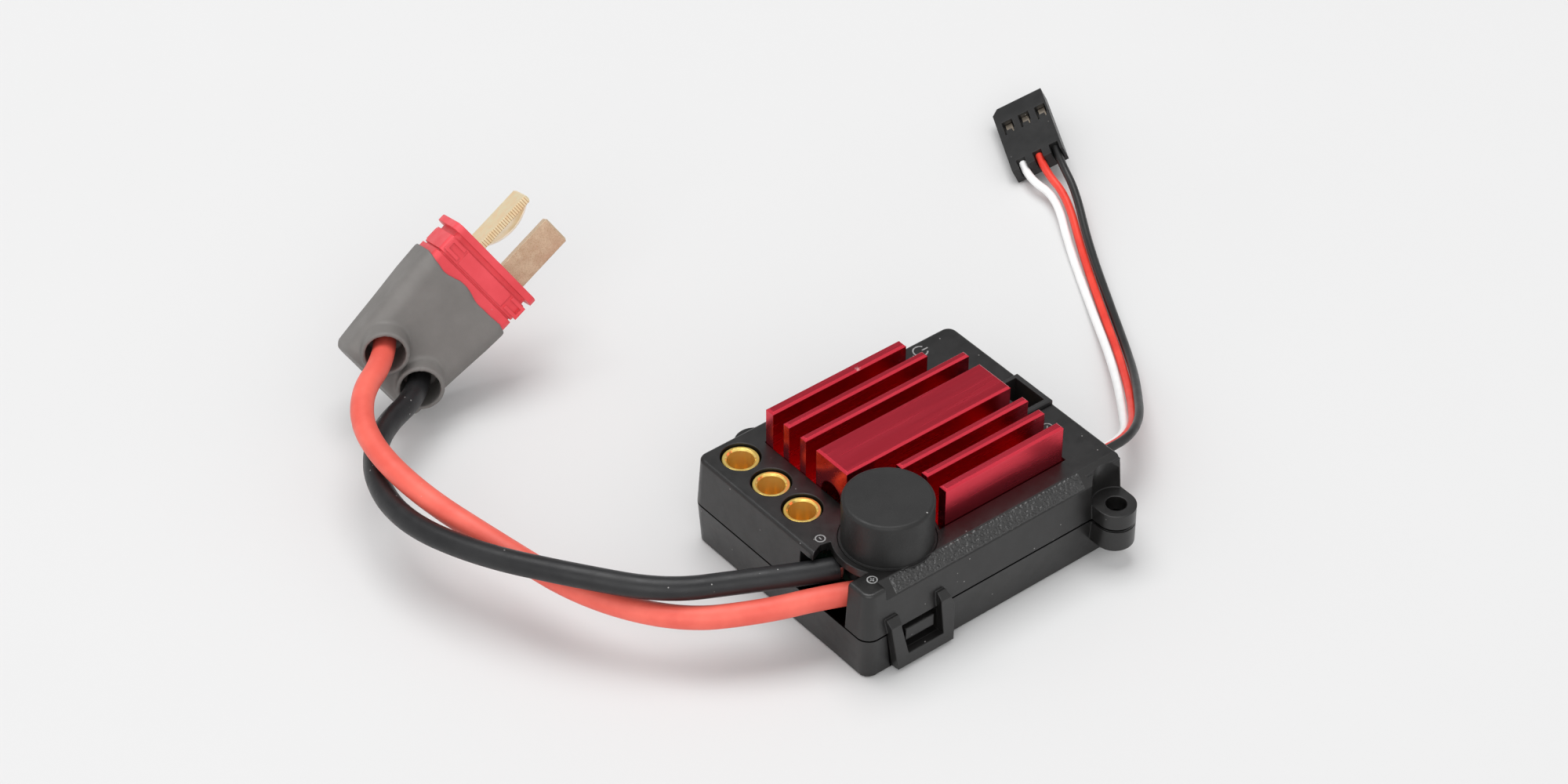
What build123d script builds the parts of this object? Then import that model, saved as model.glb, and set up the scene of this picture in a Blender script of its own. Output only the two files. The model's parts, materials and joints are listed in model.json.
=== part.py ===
"""Sensorless car speed controller: snap-fit case, finned heat sink, battery lead and servo lead.

Millimetres, +Z up. The origin is at the middle of the case's underside. +X runs along the
fins from the motor sockets to the rear wall, and +Y points away from the capacitor.
"""
from math import acos, degrees, pi, radians, sin, tan
import os

from build123d import *

# ---------------------------------------------------------------- driving dimensions
CASE_LENGTH = 42.2            # at the seam, along X
CASE_WIDTH = 34.2             # at the seam, along Y
SEAM_Z = 6.4
CASE_TOP = 13.4
DRAFT = 4.0                   # degrees, both shells lean in away from the seam
CORNER = 1.8                  # vertical corner radius at the seam
WALL = 1.4                    # floor and top plate
SIDE_WALL = 1.8               # side walls, at the seam
TOP_FILLET = 0.45
SEAM_GROOVE = 0.13            # chamfer on both shells along the seam
BEVEL = 1.6                   # textured chamfer along the right top edge
BEVEL_FRONT = -17.8           # where it starts, behind the front post

SOCKET_X = -16.4
SOCKET_Y = (13.1, 7.05, 1.0)
SOCKET_OD = 4.7               # takes a 3.5 mm bullet plug
SOCKET_ID = 3.5
SOCKET_TOP = 13.1
SOCKET_LENGTH = 8.2
SOCKET_BORE = 7.2
SOCKET_GAP = 0.25             # between each socket and the case

SINK_FRONT = -12.3
SINK_REAR = 14.0
SINK_BOTTOM = 10.4
SINK_BASE_TOP = 12.0
FIN_TOP = 19.05
FIN = 1.1
BLOCK_Y = (-2.5, 3.4)         # wide middle rib with an air channel
FINS_LEFT = ((12.5, 9.1), (9.2, 9.95), (5.95, SINK_REAR))    # centre Y, rear end X
FINS_RIGHT = ((-5.25, -6.35), (-8.3, -4.95), (-11.7, -4.95))   # centre Y, front end X

CAP_X, CAP_Y = -11.64, -9.5
CAP_RADIUS = 5.73
CAP_TOP = 19.8
CAN_RADIUS = 5.0
CAP_SKIRT = 0.3               # foot of the cap, sunk into the top plate
CAP_RIM = 1.2                 # case wall left around the cap

EAR_RADIUS = 2.6
EAR_HOLE = 1.35               # clears an M2.5 screw
EAR_TOP, EAR_GAP, EAR_BOTTOM = 8.65, 6.1, 3.05
EARS = ((17.8, -18.55, -1), (-9.75, 18.7, 1))   # hole X, hole Y, side
SCOOPS = (3.1, 2.1)           # radius of the wall's scoop above each ear

POWER_BOARD = (7.4, 9.0)      # bottom and top of each circuit board
CONTROL_BOARD = (2.8, 4.4)
PORT_X = (15.5, 20.55)        # fan port
PORT_HALF_WIDTH = 3.45
PORT_TOP = 14.1

BUTTON_Y, BUTTON_Z, BUTTON_RADIUS = 11.3, 9.6, 1.7
BUTTON_TRAVEL = 0.5
BUTTON_FLANGE = 0.45
BUTTON_FRONT = 21.6           # outer face of the key at rest
SWITCH_FACE = 17.85           # front of the switch behind it
LIGHT, LIGHT_RADIUS = (6.9, 9.8), 0.7    # status light: Y and Z in the rear wall

WIRE = 3.0                    # 16 AWG silicone wire
LEAD = 1.15                   # each servo lead wire

# T-plug: the point at the middle of the flange face, and the plug's own axes
PLUG_ORIGIN = Vector(-20.05, 60.98, 17.18)
PLUG_LENGTH_DIR = Vector(0.877, 0.020, 0.480)
PLUG_WIDTH_DIR = Vector(0.438, -0.446, -0.780)
FLANGE = (15.4, 7.3, 1.0)
BAND, BAND_REAR = (14.6, 6.7), -6.2     # lower band, partly inside the boot
TAIL, TAIL_REAR = (13.0, 5.7), -11.0
BOOT_FRONT, BOOT_REAR = -5.0, -22.0
BOOT_WIDTHS = (16.0, 13.4)
BOOT_THICKNESS = 7.5
BOOT_WAVE = ((-9.0, -5.5), (-5.1, -5.85), (-1.85, -5.05), (1.4, -5.85), (4.65, -5.05), (9.0, -5.7))
COLLAR_SPLAY = 24.0           # degrees from the broad face's normal towards the rear
COLLAR_W, COLLAR_L, COLLAR_N = 3.4, -18.9, 5.2
COLLAR_OD, COLLAR_ID, COLLAR_DEPTH = 6.4, 5.2, 5.4
WIRE_TAIL = 0.8               # straight wire beyond each collar's rim
BLADE = (4.1, 1.0, 8.8)       # width, thickness, length outside the body
BLADE_UPRIGHT_W, BLADE_FLAT_W = -2.6, 4.0

# Servo plug: the point at the middle of its front face, and its own axes
SERVO_ORIGIN = Vector(68.94, 57.43, 2.96)
SERVO_LENGTH_DIR = Vector(0.483, 0.875, 0.009)
SERVO_WIDTH_DIR = Vector(0.786, -0.438, 0.435)
SERVO_SIZE = (7.8, 14.0, 2.4)
PITCH = 2.54
SERVO_PIN_W = 0.3             # middle contact, measured from the plug's middle
SERVO_WIRE_N = 0.15           # height of the wires above the plug's middle

os.makedirs("parts", exist_ok=True)


def save(piece, name):
    piece.label = name
    export_step(piece, f"parts/{name}.step")


def plug_plane(origin, length_dir, width_dir):
    """A plane at a plug's front face: x across the plug, y out of its front, z out of its face."""
    across = width_dir - length_dir * width_dir.dot(length_dir)
    return Plane(origin=origin, x_dir=across.normalized(), z_dir=across.cross(length_dir).normalized())


def face_plane(plug, w=0.0, length=0.0, n=0.0):
    """A plane parallel to a plug's broad face, moved in the plug's own directions."""
    return Plane(origin=plug.from_local_coords(Vector(w, length, n)), x_dir=plug.x_dir, z_dir=plug.z_dir)


def cross_plane(plug, w=0.0, length=0.0, n=0.0):
    """A plane square to a plug's length; its z points out of the plug's front."""
    return Plane(origin=plug.from_local_coords(Vector(w, length, n)), x_dir=plug.x_dir, z_dir=plug.y_dir)


def side_plane(plug, w=0.0, length=0.0, n=0.0):
    """A plane square to a plug's width; its x runs along the plug and its z across it."""
    return Plane(origin=plug.from_local_coords(Vector(w, length, n)), x_dir=plug.y_dir, z_dir=plug.x_dir)


def inset(height):
    return height * tan(radians(DRAFT))


# ---------------------------------------------------------------- cord routes
PLUG = plug_plane(PLUG_ORIGIN, PLUG_LENGTH_DIR, PLUG_WIDTH_DIR)
SERVO = plug_plane(SERVO_ORIGIN, SERVO_LENGTH_DIR, SERVO_WIDTH_DIR)
COLLAR_DIR = Vector(0, -sin(radians(COLLAR_SPLAY)), sin(radians(90 - COLLAR_SPLAY)))
COLLAR_AXIS = PLUG.from_local_coords(COLLAR_DIR) - PLUG.origin


def collar_rim(side):
    return PLUG.from_local_coords(Vector(side * COLLAR_W, COLLAR_L, COLLAR_N))


RED_ROUTE = [
    (-17.9, -11.0, 8.9),
    (-21.4, -9.3, 8.9),
    (-28.4, -6.4, 8.5),
    (-36.7, -0.9, 7.8),
    (-43.1, 9.9, 7.7),
    (-46.4, 22.1, 9.0),
    (-50.6, 34.2, 11.9),
    (-50.4, 45.5, 12.9),
    (-46.4, 52.5, 13.3),
]
BLACK_ROUTE = [
    (-17.9, -7.6, 10.4),
    (-21.4, -6.2, 10.6),
    (-28.3, -2.8, 10.8),
    (-37.0, 1.6, 11.0),
    (-44.1, 10.1, 11.6),
    (-50.5, 21.2, 10.7),
    (-53.8, 32.7, 9.9),
    (-51.4, 43.0, 9.0),
    (-45.4, 50.2, 8.4),
]


def with_end(route, side):
    """The route closed by the bottom of the boot's collar."""
    rim = collar_rim(side)
    seat = rim - COLLAR_AXIS * COLLAR_DEPTH
    return route + [tuple(rim + COLLAR_AXIS * WIRE_TAIL), tuple(seat)]


def corner_radii(route):
    """Each corner takes an arc as large as its two runs allow."""
    points = [Vector(*p) for p in route]
    radii = []
    for before, corner, after in zip(points, points[1:], points[2:]):
        first, second = corner - before, after - corner
        turn = acos(max(-1.0, min(1.0, first.dot(second) / (first.length * second.length))))
        radii.append(0.45 * min(first.length, second.length) / tan(turn / 2))
    return radii


def cord(route, diameter, name):
    radii = corner_radii(route)
    points = [Vector(*p) for p in route]
    with BuildLine() as path:
        FilletPolyline(*points, radius=radii)
    with BuildPart() as tube:
        with BuildSketch(Plane(origin=points[0], z_dir=points[1] - points[0])):
            Circle(diameter / 2)
        sweep(path=path.wires()[0])
    length = path.wires()[0].length
    ratio = tube.part.volume / (pi * (diameter / 2) ** 2 * length)
    print(f"{name}: length {length:.1f}, radii {[round(r, 1) for r in radii]}, volume ratio {ratio:.4f}")
    save(tube.part, name)


def box(name, x, y, z):
    """A plain rectangular piece between the given limits."""
    with BuildPart() as piece:
        with BuildSketch(Plane.XY.offset(z[0])):
            with Locations(((x[0] + x[1]) / 2, (y[0] + y[1]) / 2)):
                Rectangle(x[1] - x[0], y[1] - y[0])
        extrude(amount=z[1] - z[0])
    save(piece.part, name)


def span(low, high):
    """Centre and size of a stretch."""
    return (low + high) / 2, high - low


# ---------------------------------------------------------------- shared outlines
INNER_LENGTH = CASE_LENGTH - 2 * SIDE_WALL
INNER_WIDTH = CASE_WIDTH - 2 * SIDE_WALL
SINK_OPENING_Y = (-12.45, 13.45)
SINK_STEP_Y = 7.9             # behind this Y the opening ends early, to leave room for the mark
SINK_STEP_X = 10.4
LATCH_X = (-18.2, -7.9)       # snap loop on the right side; its twin is turned half round
LATCH_FOOT, LATCH_TOP = 0.5, 8.9
LATCH_INSIDE = (-16.3, -10.2)  # its window, between the arms
LATCH_WINDOW_Z = (2.5, 7.4)
LATCH_DEPTH = 1.0             # how far the loop is sunk into the side
LATCH_PROUD = 0.95            # how far it stands out of the side
TOOTH_X, TOOTH_Z, TOOTH_SIZE = -12.85, 4.85, (4.8, 2.1)
NOTCH_Y = (-13.0, -4.0)       # wire opening in the front wall
NOTCH_TOP = 12.3
LEAD_SLOT_Y = (-11.1, -7.5)   # servo lead opening in the rear wall, from the seam up
LEAD_SLOT_TOP = 9.35
LEAD_EXITS = ((-8.3, 7.1), (-9.3, 7.8), (-10.3, 8.6))    # Y and Z of the three wires in it


def ear_outline(ear, grow=0.0):
    """One mounting ear, from inside the wall out to its round end."""
    x, y, side = ear
    radius = EAR_RADIUS + grow
    with Locations((x, y)):
        Circle(radius)
    with Locations((x, y - side * 1.5)):
        Rectangle(2 * radius, 3.0)


def sink_outline(clearance):
    """Heat sink base, smaller than its opening all round, cut away around the capacitor."""
    front, rear = SINK_FRONT - 0.05 + clearance, SINK_REAR + 0.6 - clearance
    low, high = SINK_OPENING_Y[0] + clearance, SINK_OPENING_Y[1] - clearance
    step = SINK_STEP_X - clearance
    Polygon(
        (front, low), (rear, low), (rear, SINK_STEP_Y - clearance), (step, SINK_STEP_Y - clearance),
        (step, high), (front, high), align=None,
    )
    with Locations((CAP_X, CAP_Y)):
        Circle(CAP_RADIUS + 0.75 + clearance, mode=Mode.SUBTRACT)
    with Locations((CAP_X - 4, CAP_Y - 4)):
        Rectangle(8, 8, mode=Mode.SUBTRACT)


def latch_outline(grow):
    """The snap loop's outside, drawn with x along the case and y upwards."""
    Polygon(
        (LATCH_X[0] - grow, LATCH_TOP), (LATCH_X[0] + 1.4 - grow, LATCH_FOOT - grow),
        (LATCH_X[1] + grow, LATCH_FOOT - grow), (LATCH_X[1] + grow, SEAM_Z),
        (LATCH_X[1] - 1.0 + grow, LATCH_TOP), align=None,
    )


def latch_window(mode):
    low, high = LATCH_WINDOW_Z
    front, rear = LATCH_INSIDE
    Polygon((front, high), (front + 1.2, low), (rear + 0.5, low), (rear, high), align=None, mode=mode)


# The right side's plane faces -Y; the left side's is the same turned half round about Z.
RIGHT_SIDE = Plane(origin=(0, -CASE_WIDTH / 2, 0), x_dir=(1, 0, 0), z_dir=(0, -1, 0))
LEFT_SIDE = Plane(origin=(0, CASE_WIDTH / 2, 0), x_dir=(-1, 0, 0), z_dir=(0, 1, 0))
SIDES = (RIGHT_SIDE, LEFT_SIDE)

# ---------------------------------------------------------------- lower shell
with BuildPart() as lower_case:
    foot = inset(SEAM_Z)
    with BuildSketch():
        RectangleRounded(CASE_LENGTH - 2 * foot, CASE_WIDTH - 2 * foot, CORNER - foot)
    extrude(amount=SEAM_Z, taper=-DRAFT)
    chamfer(lower_case.edges().group_by(Axis.Z)[0], 0.25)
    chamfer(lower_case.edges().group_by(Axis.Z)[-1], SEAM_GROOVE)
    with BuildSketch(Plane.XY.offset(WALL)):
        RectangleRounded(INNER_LENGTH - 1.0, INNER_WIDTH - 1.0, 0.8)
    extrude(amount=SEAM_Z, mode=Mode.SUBTRACT)
    for ear in EARS:
        with BuildSketch(Plane.XY.offset(EAR_BOTTOM)):
            ear_outline(ear)
        extrude(amount=EAR_GAP - 0.1 - EAR_BOTTOM)
        # room for the upper half of the ear where it dips below the seam
        with BuildSketch(Plane.XY.offset(EAR_GAP)):
            ear_outline(ear, 0.1)
        extrude(amount=SEAM_Z, mode=Mode.SUBTRACT)
    for side in SIDES:
        # pad behind the snap recess, the recess and the tooth that the loop catches
        with BuildSketch(side.offset(-LATCH_DEPTH)):
            with Locations(((LATCH_X[0] + LATCH_X[1]) / 2, SEAM_Z / 2 + 0.3)):
                Rectangle(LATCH_X[1] - LATCH_X[0] + 2.7, SEAM_Z - 0.6)
        extrude(amount=-1.6)
        with BuildSketch(side.offset(-LATCH_DEPTH - 0.15)):
            latch_outline(0.15)
        extrude(amount=3, mode=Mode.SUBTRACT)
        with BuildSketch(side.offset(-LATCH_DEPTH - 0.15)):
            with Locations((TOOTH_X, TOOTH_Z)):
                Rectangle(*TOOTH_SIZE)
        extrude(amount=1.35, taper=8)
    for x, y, side in EARS:
        with Locations(Location((x, y, EAR_BOTTOM - 0.5))):
            Cylinder(EAR_HOLE, 8, align=(Align.CENTER, Align.CENTER, Align.MIN), mode=Mode.SUBTRACT)
    with GridLocations(INNER_LENGTH - 4.0, INNER_WIDTH - 4.0, 2, 2):
        # posts that carry the lower board
        Cylinder(1.4, CONTROL_BOARD[0], align=(Align.CENTER, Align.CENTER, Align.MIN))
    with BuildSketch(Plane.XY.offset(CONTROL_BOARD[1])):
        with Locations(*((SOCKET_X, y) for y in SOCKET_Y)):
            Circle(SOCKET_OD / 2 + SOCKET_GAP)
    extrude(amount=SEAM_Z, mode=Mode.SUBTRACT)
save(lower_case.part, "lower_case")

# ---------------------------------------------------------------- upper shell
with BuildPart() as upper_case:
    with BuildSketch(Plane.XY.offset(SEAM_Z)):
        RectangleRounded(CASE_LENGTH, CASE_WIDTH, CORNER)
    extrude(amount=CASE_TOP - SEAM_Z, taper=DRAFT)
    fillet(upper_case.edges().group_by(Axis.Z)[-1], TOP_FILLET)
    chamfer(upper_case.edges().group_by(Axis.Z)[0], SEAM_GROOVE)
    # the textured bevel along the right top edge, stopping short of the front post
    shoulder = -CASE_WIDTH / 2 + inset(CASE_TOP - SEAM_Z)
    with BuildSketch(Plane.YZ.offset(BEVEL_FRONT)):
        Polygon(
            (shoulder + BEVEL, CASE_TOP), (shoulder - 0.1, CASE_TOP - BEVEL - 0.1),
            (shoulder - 3, CASE_TOP - BEVEL), (shoulder - 3, CASE_TOP + 1), (shoulder + BEVEL, CASE_TOP + 1),
            align=None,
        )
    extrude(amount=CASE_LENGTH, mode=Mode.SUBTRACT)
    for ear, scoop in zip(EARS, SCOOPS):
        # the wall is scooped out above each ear for the screw head
        with Locations(Location((ear[0], ear[1], EAR_TOP))):
            Cylinder(scoop, 8, align=(Align.CENTER, Align.CENTER, Align.MIN), mode=Mode.SUBTRACT)
    with BuildSketch(Plane.XY.offset(SEAM_Z)):
        RectangleRounded(INNER_LENGTH, INNER_WIDTH, 0.8)
    extrude(amount=CASE_TOP - WALL - SEAM_Z, taper=DRAFT, mode=Mode.SUBTRACT)
    for ear, scoop in zip(EARS, SCOOPS):
        # wall behind the scoop, the ear and its screw hole
        x, y, side = ear
        with BuildSketch(Plane.XY.offset(POWER_BOARD[1] + 0.1)):
            with Locations((x, y)):
                Circle(scoop + 1.1)
                Circle(scoop, mode=Mode.SUBTRACT)
            with Locations((x, side * (CASE_WIDTH / 2 - 3.2))):
                Rectangle(5.6, 4.0, mode=Mode.INTERSECT)
        extrude(amount=CASE_TOP - 0.7 - POWER_BOARD[1])
        with BuildSketch(Plane.XY.offset(EAR_GAP + 0.1)):
            ear_outline(ear)
            with Locations((x, side * (CASE_WIDTH / 2 - SIDE_WALL - 5))):
                Rectangle(8, 10, mode=Mode.SUBTRACT)
        extrude(amount=EAR_TOP - EAR_GAP - 0.1)
        with Locations(Location((x, y, SEAM_Z - 1))):
            Cylinder(EAR_HOLE, 6, align=(Align.CENTER, Align.CENTER, Align.MIN), mode=Mode.SUBTRACT)
    # heat sink opening, capacitor hole with its counterbore, and the socket holes
    with BuildSketch(Plane.XY.offset(SEAM_Z)):
        sink_outline(0.0)
        with Locations((CAP_X, CAP_Y)):
            Circle(CAP_RADIUS + 0.2)
        with Locations(*((SOCKET_X, y) for y in SOCKET_Y)):
            Circle(SOCKET_OD / 2 + SOCKET_GAP)
    extrude(amount=CASE_TOP, mode=Mode.SUBTRACT)
    with BuildSketch(Plane.XY.offset(CASE_TOP - 0.5)):
        with Locations((CAP_X, CAP_Y)):
            Circle(CAP_RADIUS + CAP_SKIRT + 0.05)
    extrude(amount=1, mode=Mode.SUBTRACT)
    # wire opening: wide in the front wall, narrower through the top plate
    with BuildSketch(Plane.XY.offset(SEAM_Z)):
        with Locations((-CASE_LENGTH / 2 + 1, sum(NOTCH_Y) / 2)):
            Rectangle(4.4, NOTCH_Y[1] - NOTCH_Y[0])
    extrude(amount=NOTCH_TOP - SEAM_Z, mode=Mode.SUBTRACT)
    with BuildSketch(Plane.XY.offset(SEAM_Z)):
        Polygon(
            (-22.5, -6.4), (-20.9, -6.4), (-18.9, -5.6), (-17.2, -6.0), (-16.4, -9.5),
            (-17.2, NOTCH_Y[0]), (-22.5, NOTCH_Y[0]), align=None,
        )
        with Locations((CAP_X, CAP_Y)):
            # a thin wall stays around the capacitor
            Circle(CAP_RADIUS + CAP_RIM, mode=Mode.SUBTRACT)
    extrude(amount=CASE_TOP, mode=Mode.SUBTRACT)
    # a thin sleeve around the capacitor keeps it off the ends of the battery wires
    for radius, bottom in ((CAN_RADIUS + 0.4, POWER_BOARD[1] + 0.1), (CAP_RADIUS + 0.25, CASE_TOP - WALL)):
        with BuildSketch(Plane.XY.offset(bottom)):
            with Locations((CAP_X, CAP_Y)):
                Circle(radius)
                Circle(CAN_RADIUS + 0.1, mode=Mode.SUBTRACT)
        extrude(amount=CASE_TOP - 0.6 - bottom)
    # fan port and servo lead openings
    with BuildSketch(Plane.XY.offset(POWER_BOARD[1])):
        with Locations((sum(PORT_X) / 2, 0)):
            Rectangle(PORT_X[1] - PORT_X[0], 2 * PORT_HALF_WIDTH)
    extrude(amount=CASE_TOP, mode=Mode.SUBTRACT)
    with BuildSketch(Plane.YZ.offset(CASE_LENGTH / 2 - 3)):
        with Locations((sum(LEAD_SLOT_Y) / 2, (SEAM_Z + LEAD_SLOT_TOP) / 2)):
            Rectangle(LEAD_SLOT_Y[1] - LEAD_SLOT_Y[0], LEAD_SLOT_TOP - SEAM_Z)
    extrude(amount=4, mode=Mode.SUBTRACT)
    # button hole
    with BuildSketch(Plane.YZ.offset(CASE_LENGTH / 2 - 3)):
        with Locations((BUTTON_Y, BUTTON_Z)):
            Circle(BUTTON_RADIUS + 0.15)
    extrude(amount=4, mode=Mode.SUBTRACT)
    # status light hole
    with BuildSketch(Plane.YZ.offset(CASE_LENGTH / 2 - 3)):
        with Locations(LIGHT):
            Circle(LIGHT_RADIUS + 0.05)
    extrude(amount=4, mode=Mode.SUBTRACT)
    for side in SIDES:
        # snap loop: two arms and a bar that reach down over the lower shell's tooth
        with BuildSketch(side.offset(-LATCH_DEPTH)):
            latch_outline(0.0)
            latch_window(Mode.SUBTRACT)
            with Locations((0, SEAM_Z + 5)):
                Rectangle(60, 10, mode=Mode.SUBTRACT)
        extrude(amount=LATCH_DEPTH - 0.05)
        with BuildSketch(side.offset(-0.5)):
            latch_outline(0.0)
            latch_window(Mode.SUBTRACT)
            with Locations(((LATCH_INSIDE[0] + LATCH_INSIDE[1]) / 2, 8.4)):
                Rectangle(LATCH_INSIDE[1] - LATCH_INSIDE[0], 2.0, mode=Mode.SUBTRACT)
        extrude(amount=0.5 + LATCH_PROUD, taper=3)
        # the arms slope back into the wall at their tops
        slope = Plane(
            origin=side.from_local_coords(Vector(LATCH_X[1] + 0.9, 0, 0)),
            x_dir=side.z_dir, z_dir=-side.x_dir,
        )
        with BuildSketch(slope):
            Polygon((1.5, LATCH_TOP - 1.6), (1.5, LATCH_TOP + 0.4), (-0.15, LATCH_TOP + 0.4), align=None)
        extrude(amount=12, mode=Mode.SUBTRACT)
save(upper_case.part, "upper_case")


# ---------------------------------------------------------------- heat sink
with BuildPart() as heatsink:
    with BuildSketch(Plane.XY.offset(SINK_BOTTOM)):
        sink_outline(0.12)
    extrude(amount=SINK_BASE_TOP - SINK_BOTTOM)
    fins = [(y, FIN if y != FINS_LEFT[0][0] else FIN + 0.3, SINK_FRONT, rear) for y, rear in FINS_LEFT]
    fins += [(y, FIN if y != FINS_RIGHT[-1][0] else FIN + 0.2, front, SINK_REAR) for y, front in FINS_RIGHT]
    fins.append((*span(*BLOCK_Y), SINK_FRONT, SINK_REAR))
    for y, thickness, front, rear in fins:
        with BuildSketch(Plane.XY.offset(SINK_BASE_TOP - 0.2)):
            with Locations(((front + rear) / 2, y)):
                Rectangle(rear - front, thickness)
        extrude(amount=FIN_TOP - SINK_BASE_TOP + 0.2)
    chamfer(heatsink.edges().group_by(Axis.Z)[-1], 0.25)
    # air channel under the wide middle rib, arched, open at the front end
    middle, width = span(*BLOCK_Y)
    mouth = Plane(origin=(SINK_FRONT - 0.1, middle, SINK_BASE_TOP), x_dir=(0, 1, 0), z_dir=(1, 0, 0))
    with BuildSketch(mouth):
        with Locations((0, 1.6)):
            Circle(1.9)
            Rectangle(3.8, 3.2, align=(Align.CENTER, Align.MAX))
        Rectangle(6, 6, align=(Align.CENTER, Align.MAX), mode=Mode.SUBTRACT)
    extrude(amount=12, mode=Mode.SUBTRACT)
save(heatsink.part, "heatsink")

# ---------------------------------------------------------------- inside the case
with BuildPart() as thermal_pad:
    with BuildSketch(Plane.XY.offset(SINK_BOTTOM - 0.5)):
        with Locations((4.0, 0.2)):
            Rectangle(17.0, 22.0)
    extrude(amount=0.5)
save(thermal_pad.part, "thermal_pad")

board_half_x, board_half_y = INNER_LENGTH / 2 - 0.35, INNER_WIDTH / 2 - 0.6
with BuildPart() as power_board:
    with BuildSketch(Plane.XY.offset(POWER_BOARD[0])):
        Rectangle(2 * board_half_x, 2 * board_half_y)
        # cut back for the battery wires and drilled for the motor sockets
        with Locations((-board_half_x, sum(NOTCH_Y) / 2)):
            Rectangle(5.0, 11.0, mode=Mode.SUBTRACT)
        with Locations(*((SOCKET_X, y) for y in SOCKET_Y)):
            Circle(SOCKET_OD / 2, mode=Mode.SUBTRACT)
        with Locations((board_half_x, sum(LEAD_SLOT_Y) / 2)):
            Rectangle(9.6, 6.0, mode=Mode.SUBTRACT)
        with Locations((board_half_x, BUTTON_Y)):
            Rectangle(3.0, 5.6, mode=Mode.SUBTRACT)
    extrude(amount=POWER_BOARD[1] - POWER_BOARD[0])
save(power_board.part, "power_board")

with BuildPart() as control_board:
    with BuildSketch(Plane.XY.offset(CONTROL_BOARD[0])):
        Rectangle(2 * board_half_x - 1.0, 2 * board_half_y - 1.0)
    extrude(amount=CONTROL_BOARD[1] - CONTROL_BOARD[0])
save(control_board.part, "control_board")

MOSFET_X = (-1.5, 4.0, 9.5)
for row, y in enumerate((-6.2, 6.6)):
    for column, x in enumerate(MOSFET_X):
        box(f"mosfet_{3 * row + column + 1}", (x - 2.45, x + 2.45), (y - 2.9, y + 2.9),
            (POWER_BOARD[1], SINK_BOTTOM - 0.5))

box("gate_driver", (0.5, 6.0), (-2.4, 2.4), (CONTROL_BOARD[1], CONTROL_BOARD[1] + 0.9))
box("microcontroller", (-11.0, -4.0), (4.0, 11.0), (CONTROL_BOARD[1], CONTROL_BOARD[1] + 1.0))
box("board_header", (9.0, 11.5), (-6.5, 6.5), (CONTROL_BOARD[1], POWER_BOARD[0]))
box("servo_pad_block", (14.6, 16.6), (-11.3, -7.4), (CONTROL_BOARD[1], LEAD_SLOT_TOP))

with BuildPart() as bec_inductor:
    with BuildSketch(Plane.XY.offset(CONTROL_BOARD[1])):
        with Locations((-6.0, -8.0)):
            RectangleRounded(5.2, 5.2, 1.0)
    extrude(amount=2.6)
save(bec_inductor.part, "bec_inductor")

with BuildPart() as main_capacitor:
    with BuildSketch(Plane.XY.offset(POWER_BOARD[1])):
        with Locations((CAP_X, CAP_Y)):
            Circle(CAN_RADIUS)
    extrude(amount=CAP_TOP - 0.9 - POWER_BOARD[1])
    fillet(main_capacitor.edges().group_by(Axis.Z)[-1], 0.6)
save(main_capacitor.part, "main_capacitor")

with BuildPart() as capacitor_cap:
    seat = CASE_TOP - 0.5
    with BuildSketch(Plane.XY.offset(seat)):
        with Locations((CAP_X, CAP_Y)):
            Circle(CAP_RADIUS + CAP_SKIRT)
    extrude(amount=0.45)
    with BuildSketch(Plane.XY.offset(seat)):
        with Locations((CAP_X, CAP_Y)):
            Circle(CAP_RADIUS)
    extrude(amount=CAP_TOP - seat)
    fillet(capacitor_cap.edges().group_by(Axis.Z)[-1], 0.5)
    with BuildSketch(Plane.XY.offset(seat)):
        with Locations((CAP_X, CAP_Y)):
            Circle(CAN_RADIUS + 0.03)
    extrude(amount=CAP_TOP - 0.87 - seat, mode=Mode.SUBTRACT)
save(capacitor_cap.part, "capacitor_cap")

for letter, y in zip("abc", SOCKET_Y):
    with BuildPart() as motor_socket:
        with BuildSketch(Plane.XY.offset(SOCKET_TOP - SOCKET_LENGTH)):
            with Locations((SOCKET_X, y)):
                Circle(SOCKET_OD / 2)
        extrude(amount=SOCKET_LENGTH)
        with BuildSketch(Plane.XY.offset(SOCKET_TOP - SOCKET_BORE)):
            with Locations((SOCKET_X, y)):
                Circle(SOCKET_ID / 2)
        extrude(amount=SOCKET_BORE, mode=Mode.SUBTRACT)
        inner, outer = motor_socket.edges().group_by(Axis.Z)[-1].sort_by(SortBy.RADIUS)
        chamfer(inner, 0.22)
        chamfer(outer, 0.08)
    save(motor_socket.part, f"motor_socket_{letter}")

with BuildPart() as fan_port_housing:
    middle, depth = span(PORT_X[0] + 0.1, PORT_X[1] - 0.05)
    with BuildSketch(Plane.XY.offset(POWER_BOARD[1])):
        with Locations((middle, 0)):
            Rectangle(depth, 2 * PORT_HALF_WIDTH - 0.2)
    extrude(amount=PORT_TOP - POWER_BOARD[1])
    chamfer(fan_port_housing.edges().group_by(Axis.Z)[-1], 0.2)
    with BuildSketch(Plane.XY.offset(POWER_BOARD[1] + 1.0)):
        with Locations((middle - 0.1, 0)):
            Rectangle(depth - 1.5, 2 * PORT_HALF_WIDTH - 1.5)
    extrude(amount=PORT_TOP, mode=Mode.SUBTRACT)
save(fan_port_housing.part, "fan_port_housing")
for index, y in enumerate((-1.25, 1.25)):
    pin_z = (POWER_BOARD[1] + 1.0, CASE_TOP - 1.8)
    box(f"fan_port_pin_{index + 1}", (17.6, 18.24), (y - 0.32, y + 0.32), pin_z)

with BuildPart() as power_switch_body:
    with BuildSketch(Plane.XY.offset(POWER_BOARD[1])):
        with Locations((SWITCH_FACE - 1.2, BUTTON_Y)):
            Rectangle(2.4, 4.4)
    extrude(amount=2.2)
save(power_switch_body.part, "power_switch_body")
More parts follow.
